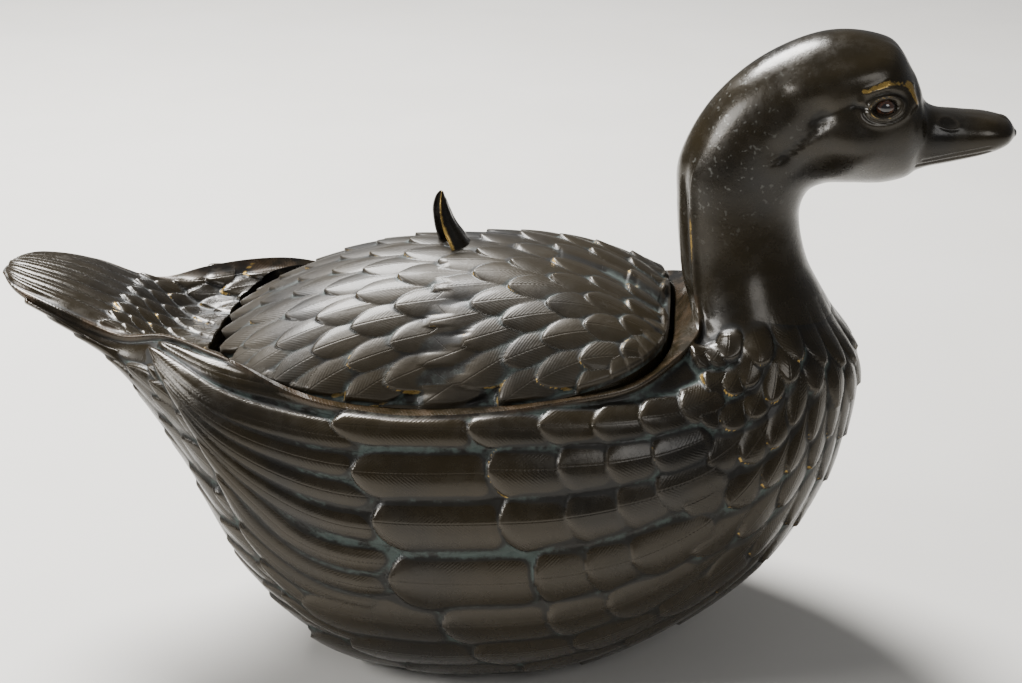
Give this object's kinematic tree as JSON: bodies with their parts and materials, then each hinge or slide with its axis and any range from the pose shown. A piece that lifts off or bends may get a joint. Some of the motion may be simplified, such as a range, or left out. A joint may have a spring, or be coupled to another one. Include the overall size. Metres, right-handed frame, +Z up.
{
  "type": "inkwell",
  "caption": "Bronze inkwell shaped as a resting duck; its feathered back lifts off over a deck with two porcelain ink pots.",
  "frame": {"origin": "middle of the whole duck's bounding box, on the plane its flat foot rests on", "axes": "+X towards the bill, +Y towards the duck's left side, +Z up"},
  "size_m": [0.2347, 0.1012, 0.1507],
  "materials": {
    "bronze": "dark brown patina, semi-gloss",
    "brass": "dull brass",
    "porcelain": "glazed white",
    "eye": "polished dark bronze",
    "felt": "green wool felt"
  },
  "bodies": {
    "duck": {"body_casting": "bronze", "neck_and_head": "bronze", "neck_collar": "brass", "right_eye": "eye", "left_eye": "eye", "well_deck": "brass", "deck_screw_1": "brass", "deck_screw_2": "brass", "deck_screw_3": "brass", "deck_screw_4": "brass", "base_plate": "brass", "base_screw_1": "brass", "base_screw_2": "brass", "base_screw_3": "brass", "base_felt": "felt"},
    "lid_body": {"lid": "bronze", "lid_finial": "bronze", "finial_nut": "brass"},
    "front_pot": {"front_ink_pot": "porcelain"},
    "rear_pot": {"rear_ink_pot": "porcelain"}
  },
  "joints": [
    {"name": "lid_lift", "type": "slide", "parent": "duck", "child": "lid_body", "axis": [0, 0, 1], "range_m": [0, 0.045]},
    {"name": "front_pot_lift", "type": "slide", "parent": "duck", "child": "front_pot", "axis": [0, 0, 1], "range_m": [0, 0.016]},
    {"name": "rear_pot_lift", "type": "slide", "parent": "duck", "child": "rear_pot", "axis": [0, 0, 1], "range_m": [0, 0.016]}
  ]
}
